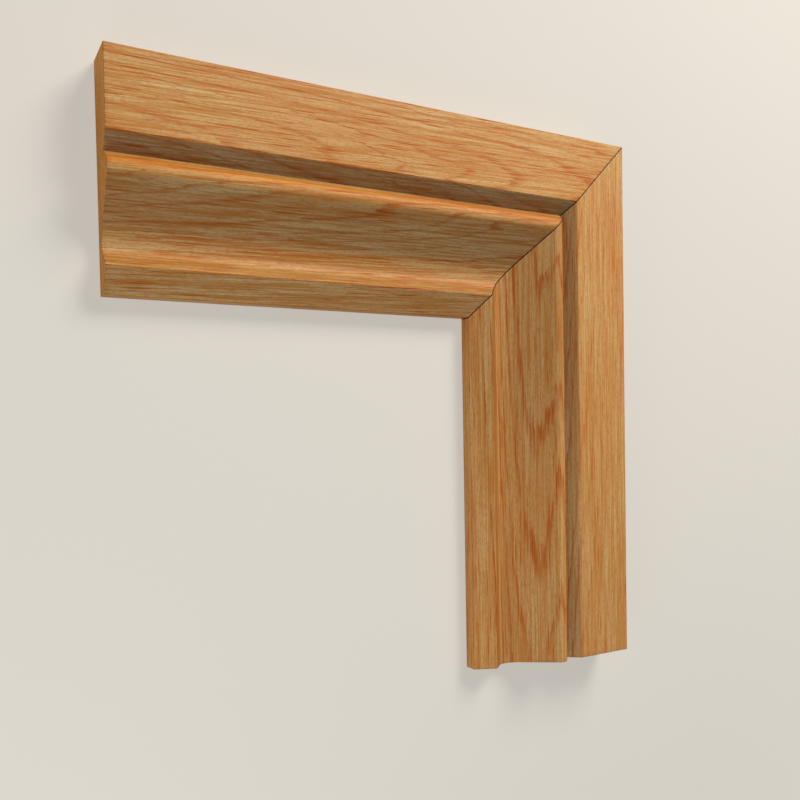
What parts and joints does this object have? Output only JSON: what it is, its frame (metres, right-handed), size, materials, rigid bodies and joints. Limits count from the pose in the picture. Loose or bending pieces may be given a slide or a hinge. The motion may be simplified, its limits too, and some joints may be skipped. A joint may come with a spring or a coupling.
{
  "type": "architrave moulding corner",
  "caption": "Mitred corner of a solid oak door architrave: head and leg share a section of flat fascia, quirk, bead, ogee, hollow and sloping lip. Lies on its flat back.",
  "frame": {"origin": "on the flat back, under the middle of the corner's overall square", "axes": "+X along the head towards the mitre, +Y up the leg towards the mitre, +Z out of the moulded face"},
  "size_m": [0.274, 0.274, 0.02],
  "materials": {
    "oak": "planed and sanded, satin clear coat"
  },
  "bodies": {
    "root": {"head_moulding": "oak", "leg_moulding": "oak"}
  },
  "joints": []
}
